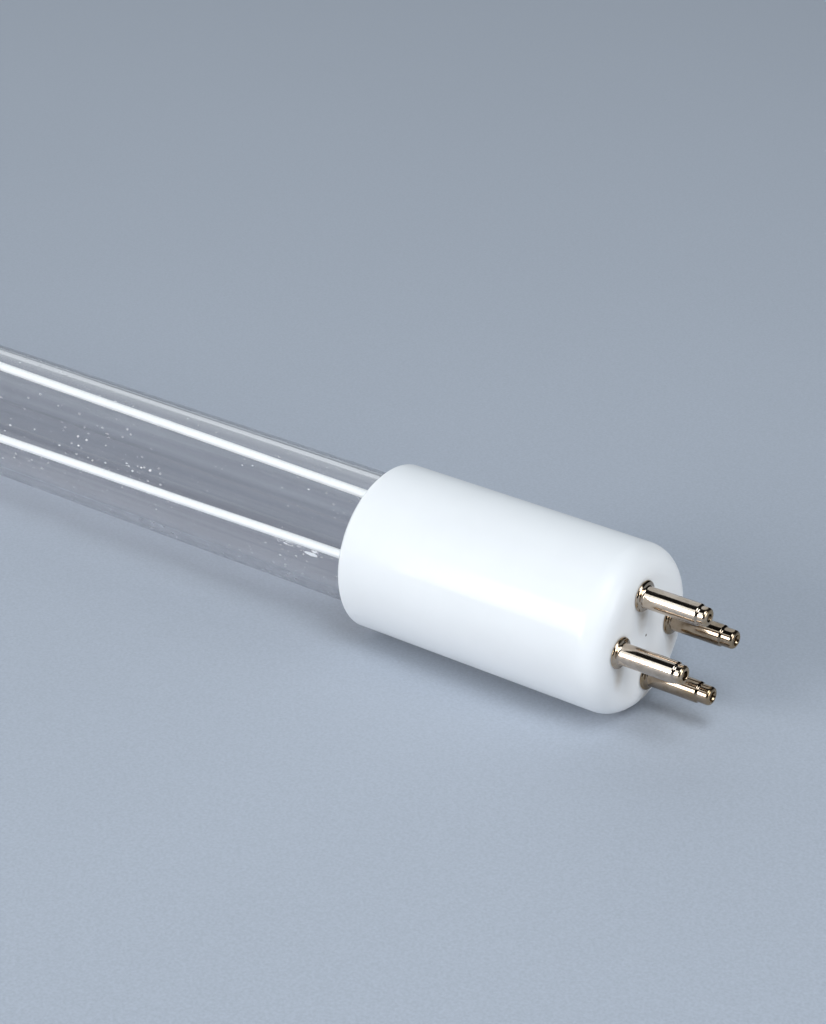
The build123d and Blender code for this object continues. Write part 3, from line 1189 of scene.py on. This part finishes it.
@dataclass
class Filament:
    """Coiled coil of fine wire across the tube, with a plain tail at each end.

    Attributes:
        end: Which of the two coils.
        turns: Turns of the broad coil.
        fine_turns: Turns of the fine coil in one turn of the broad one.
        wire: Radius of the wire.
        tail: Radius of the tails.
        tail_margin: How far a tail stays inside the reach of its solid.
        samples: Points along one turn of the fine coil.
    """

    axes: LampAxes
    end: End
    turns: int = 5
    coil_radius: float = 0.8 * MM
    pitch: float = 0.66 * MM
    fine_turns: int = 22
    fine_radius: float = 0.095 * MM
    wire: float = 0.042 * MM
    tail: float = 0.1 * MM
    tail_margin: float = 0.02 * MM
    sharp_angle: float = 60.0
    samples: int = 12
    columns: int = 8

    def __post_init__(self) -> None:
        """Read the coil's place and the reach of its tails from its solid."""
        points = node_points(f"{self.end.value}_filament")
        self.middle = (points[:, 0].min() + points[:, 0].max()) / 2
        self.reach = np.abs(points @ self.axes.across).max() - self.tail_margin

    def make(self, material: Material) -> None:
        """Wind a fine helix round a broad one.

        The broad helix turns about the line across the tube. A point of the fine one is the broad helix's
        point plus the fine radius times the cosine of its angle outwards and the sine along the third
        direction.

        Args:
            material: The coated wire.
        """
        turn = np.linspace(0.0, 2.0 * np.pi * self.turns, self.turns * self.fine_turns * self.samples)
        height = self.turns * self.pitch
        out = self.axes.placed(np.cos(turn), 0 * turn, np.sin(turn))
        across = height / 2 - self.pitch * turn / (2 * np.pi)
        broad = self.coil_radius * out + self.axes.placed(self.middle, across, 0.0)
        along = np.gradient(broad, axis=0)
        along /= np.linalg.norm(along, axis=1, keepdims=True)
        third = np.cross(along, out)
        fine = self.fine_turns * turn
        spoke = np.cos(fine)[:, None] * out + np.sin(fine)[:, None] * third
        path = broad + self.fine_radius * spoke
        forward = np.gradient(path, axis=0)
        forward /= np.linalg.norm(forward, axis=1, keepdims=True)
        second = np.cross(forward, spoke)
        second /= np.linalg.norm(second, axis=1, keepdims=True)
        radius = np.full(len(path), self.wire)
        radius[[0, -1]] = 0.0
        shells = [Shell(carried(path, np.cross(second, forward), second, radius, self.columns))]
        shells += [self.tail_shell(sign) for sign in (1.0, -1.0)]
        piece = build(f"{self.end.value}_coil", shells, self.sharp_angle)
        finish_piece(piece, material, "tungsten", f"{self.end.value}_filament")

    def tail_shell(self, sign: float) -> Shell:
        """Straight tail from the coil's last turn into the clamp of its support.

        Args:
            sign: 1 for the tail on the upper side, -1 for the other.

        Returns:
            The tail's surface.
        """
        start = sign * (self.turns * self.pitch / 2 - self.fine_radius)
        place = np.array([start, start, sign * self.reach, sign * self.reach])
        radius = np.array([0.0, self.tail, self.tail, 0.0])[:, None]
        angle = np.linspace(0.0, 2.0 * np.pi, 16, endpoint=False)[None]
        along = self.middle + self.coil_radius + radius * np.cos(angle)
        return Shell(self.axes.placed(along, place[:, None], radius * np.sin(angle)))


@dataclass
class MercuryDrop:
    """Drop of mercury that lies in the tube, a little flattened by its weight.

    Attributes:
        flat: Height of the flattened half as a share of its radius.
    """

    flat: float = 0.9
    rows: int = 40
    columns: int = 64

    def make(self, material: Material) -> None:
        """Sphere of latitudes and longitudes with its upper half pressed flatter.

        Args:
            material: The metal.
        """
        low, high = node_box("mercury_bead")
        middle, radius = (low + high) / 2, (high[2] - low[2]) / 2
        rise = np.linspace(-np.pi / 2, np.pi / 2, self.rows)[:, None]
        turn = np.linspace(0.0, 2.0 * np.pi, self.columns, endpoint=False)[None]
        level = radius * np.sin(rise) * (1 - (1 - self.flat) * (rise > 0))
        wide = radius * np.cos(rise)
        points = np.stack([wide * np.cos(turn), wide * np.sin(turn), level + 0 * turn], axis=-1) + middle
        finish_piece(build("mercury_drop", [Shell(points)]), material, "mercury", "mercury_bead")


SKY_BLUE = (0.845, 0.925, 1.0)  # of the cooler lights
DAYLIGHT = (0.945, 0.955, 0.96)  # of the warmer ones


@dataclass(frozen=True)
class Softbox:
    """Rectangular light that looks at a point of the lamp's axis.

    Attributes:
        name: Name of the light.
        place: Where it stands.
        aim: Place along the axis that it looks at.
        width: Its level side.
        height: Its other side.
        power: Its power in watts.
        colour: Its colour.
    """

    name: str
    place: Triple
    aim: float
    width: float
    height: float
    power: float
    colour: Triple = SKY_BLUE

    def make(self) -> None:
        """Add the light."""
        light = bpy.data.lights.new(self.name, "AREA")
        light.shape = "RECTANGLE"
        light.size = self.width
        light.size_y = self.height
        light.energy = self.power
        light.color = self.colour
        place = np.array(self.place)
        back = place - np.array([self.aim, 0.0, 0.0])
        back /= np.linalg.norm(back)
        side = np.cross([0.0, 0.0, 1.0], back)
        side /= np.linalg.norm(side)
        stand(bpy.data.objects.new(self.name, light), side, np.cross(back, side), back, place)


def stand(
    thing: bpy.types.Object, side: np.ndarray, up: np.ndarray, back: np.ndarray, place: np.ndarray
) -> None:
    """Link a camera or light that looks away from its back direction.

    Args:
        thing: The camera or light.
        side: Unit vector to its right.
        up: Unit vector to its top.
        back: Unit vector away from what it looks at.
        place: Where it stands.
    """
    rows = [(*row, at) for row, at in zip(np.stack([side, up, back], axis=1), place)]
    thing.matrix_world = Matrix([*rows, (0.0, 0.0, 0.0, 1.0)])
    bpy.context.scene.collection.objects.link(thing)


@dataclass
class Studio:
    """Floor, lights and camera.

    The camera's focal length, place and angles come from a fit of the base, tube and pins to the photograph.

    Attributes:
        frame_long_side: Long side of the photograph in pixels.
        focal_length: Focal length in pixels.
        sensor: Width of the camera's sensor in Blender's millimetres.
        azimuth: Degrees that the camera looks to the left of straight across the lamp.
        pitch: Degrees that it looks down.
        near_clip: Distance from which the camera sees.
    """

    frame_long_side: float = 1024.0
    focal_length: float = 2638.5
    sensor: float = 36.0
    camera_place: Triple = (121.668 * MM, -204.074 * MM, 135.495 * MM)
    azimuth: float = 36.61
    pitch: float = 27.15
    near_clip: float = 0.01
    world_colour: Triple = (0.86, 0.93, 1.0)
    world_strength: float = 0.015
    floor_size: float = 6.0
    softboxes: tuple[Softbox, ...] = (
        Softbox("key_light", (0.25, -0.22, 0.73), aim=0.0, width=0.42, height=0.42, power=3.4),
        Softbox(
            "right_light", (0.755, -0.02, 0.26), aim=0.0, width=0.42, height=0.42, power=3.2, colour=DAYLIGHT
        ),
        Softbox(
            "front_light", (-0.26, -0.68, 0.23), aim=0.0, width=0.34, height=0.36, power=3.5, colour=DAYLIGHT
        ),
        Softbox("back_panel", (-0.6, 0.45, 0.45), aim=-0.1, width=1.1, height=1.0, power=2.8),
        Softbox("tall_window", (-0.33, -0.52, 0.39), aim=-0.33, width=0.22, height=0.54, power=0.75),
        Softbox("window_core", (-0.385, -0.545, 0.345), aim=-0.385, width=0.085, height=0.11, power=0.08),
    )

    def make_floor(self, material: Material) -> None:
        """Flat floor under the lamp's ceramic ends.

        Args:
            material: The floor's material.
        """
        level = node_box("pin_base")[0][2]
        half = self.floor_size / 2
        corners = [(-half, -half, level), (half, -half, level), (half, half, level), (-half, half, level)]
        mesh = bpy.data.meshes.new("floor")
        mesh.from_pydata(corners, [], [(0, 1, 2, 3)])
        floor = bpy.data.objects.new("floor", mesh)
        floor.data.materials.append(material)
        bpy.context.scene.collection.objects.link(floor)

    def make_lights(self) -> None:
        """Softboxes and a dim, even surround."""
        for softbox in self.softboxes:
            softbox.make()
        world = bpy.data.worlds.new("surround")
        world.use_nodes = True
        background = world.node_tree.nodes["Background"]
        background.inputs["Color"].default_value = (*self.world_colour, 1.0)
        background.inputs["Strength"].default_value = self.world_strength
        bpy.context.scene.world = world
        bpy.context.scene.view_settings.view_transform = "Standard"

    def make_camera(self) -> None:
        """Camera at the photograph's place."""
        turn, fall = np.radians(self.azimuth), np.radians(self.pitch)
        forward = np.array([-np.sin(turn) * np.cos(fall), np.cos(turn) * np.cos(fall), -np.sin(fall)])
        right = np.array([np.cos(turn), np.sin(turn), 0.0])
        data = bpy.data.cameras.new("camera")
        data.sensor_width = self.sensor
        data.lens = self.focal_length / self.frame_long_side * self.sensor
        data.clip_start = self.near_clip
        camera = bpy.data.objects.new("camera", data)
        stand(camera, right, np.cross(right, forward), -forward, np.array(self.camera_place))
        bpy.context.scene.camera = camera


@dataclass
class Dressing:
    """Materials of the solids that keep their own shape."""

    wire: Material
    foil: Material
    cement: Material
    ceramic: Material

    def make(self) -> None:
        """Dress the ceramic, the cement, the leads, the foils and the bare return wires."""
        dress("pin_base", self.ceramic)
        dress("end_cap", self.ceramic)
        dress("base_cement", self.cement)
        dress("cap_cement", self.cement)
        for side in Side:
            dress(f"return_wire_{side.value}", self.wire)
            for end in End:
                dress(f"{end.value}_lead_{side.value}", self.wire)
                dress(f"{end.value}_support_{side.value}", self.wire)
                dress(f"{end.value}_foil_{side.value}", self.foil)


def main() -> None:
    """Build each sub-assembly in order, then the studio."""
    logging.basicConfig(level=logging.INFO, format="%(message)s")
    axes = LampAxes.from_pins()
    QuartzTube(axes).make(Quartz().material())
    pins = [
        ContactPin(1, nose_length=0.95 * MM, mouth=0.42 * MM),
        ContactPin(2, nose_length=0.85 * MM, mouth=0.5 * MM),
        ContactPin(3, nose_length=1.4 * MM, mouth=0.66 * MM),
        ContactPin(4, nose_length=1.4 * MM, mouth=0.62 * MM),
    ]
    fresh = PinMetal("nickel_plate", browning_and_shade=0.06).material()
    # Pins 3 and 4 lie in the shade of pins 1 and 2: their plate is a darker, browner copy, which is painted
    # shade.
    shaded_plate = PinMetal("shaded_nickel_plate", browning_and_shade=0.68).material()
    for pin, plate in zip(pins, (fresh, fresh, shaded_plate, shaded_plate)):
        pin.make(plate)
    white = SleeveWhite().material()
    for side in Side:
        Sleeve(side).make(white)
    coated = TUNGSTEN.material()
    for end in End:
        Filament(axes, end).make(coated)
    MercuryDrop().make(MERCURY.material())
    # Places of the pins, under which the ceramic gets painted shadow and warm bounce light.
    under_pins = tuple((0.0, float(pin.axis[1]), float(pin.axis[2])) for pin in pins)
    Dressing(
        wire=NICKEL.material(),
        foil=FOIL.material(),
        cement=Cement().material(),
        ceramic=Ceramic(shading_pins=under_pins).material(),
    ).make()
    studio = Studio()
    studio.make_floor(FloorPaper().material())
    studio.make_lights()
    studio.make_camera()


if __name__ == "__main__":
    main()
